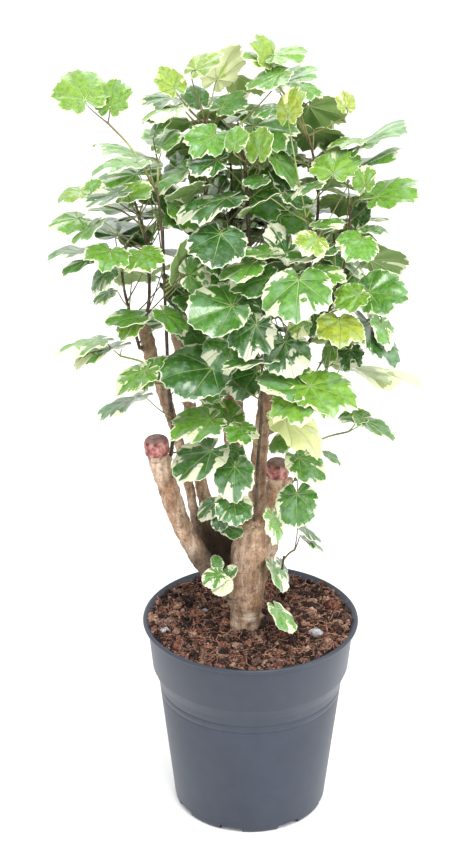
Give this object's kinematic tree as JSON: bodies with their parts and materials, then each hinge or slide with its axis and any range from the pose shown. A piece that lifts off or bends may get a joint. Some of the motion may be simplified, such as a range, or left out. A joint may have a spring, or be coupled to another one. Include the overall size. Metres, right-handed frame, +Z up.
{
  "type": "potted polyscias",
  "caption": "Potted polyscias: a sawn, branched woody trunk with waxed ends and shoots of round, toothed, cream-edged leaves, standing in soil in a tapered nursery pot with a banded rim.",
  "frame": {"origin": "centre of the flat underside of the pot, on the surface it stands on", "axes": "+Z up, -Y towards the side that the picture shows, +X to its right"},
  "size_m": [0.3431, 0.2742, 0.7648],
  "materials": {
    "pot": "satin moulded polypropylene",
    "soil": "crumbled potting mix",
    "trunk": "rough bark",
    "wax": "dull sealing wax",
    "shoot": "glossy leaves with cream edges"
  },
  "bodies": {
    "root": {"pot": "pot", "soil": "soil", "trunk": "trunk", "wax_left": "wax", "wax_right": "wax", "shoot_left_outer": "shoot", "shoot_left_inner": "shoot", "shoot_left_front": "shoot", "shoot_upper_left": "shoot", "shoot_centre": "shoot", "shoot_centre_rear": "shoot", "shoot_front": "shoot", "shoot_right_front": "shoot", "shoot_upper_right": "shoot", "shoot_right_outer": "shoot", "shoot_right_low": "shoot", "sprout_left": "shoot", "sprout_right": "shoot"}
  },
  "joints": []
}
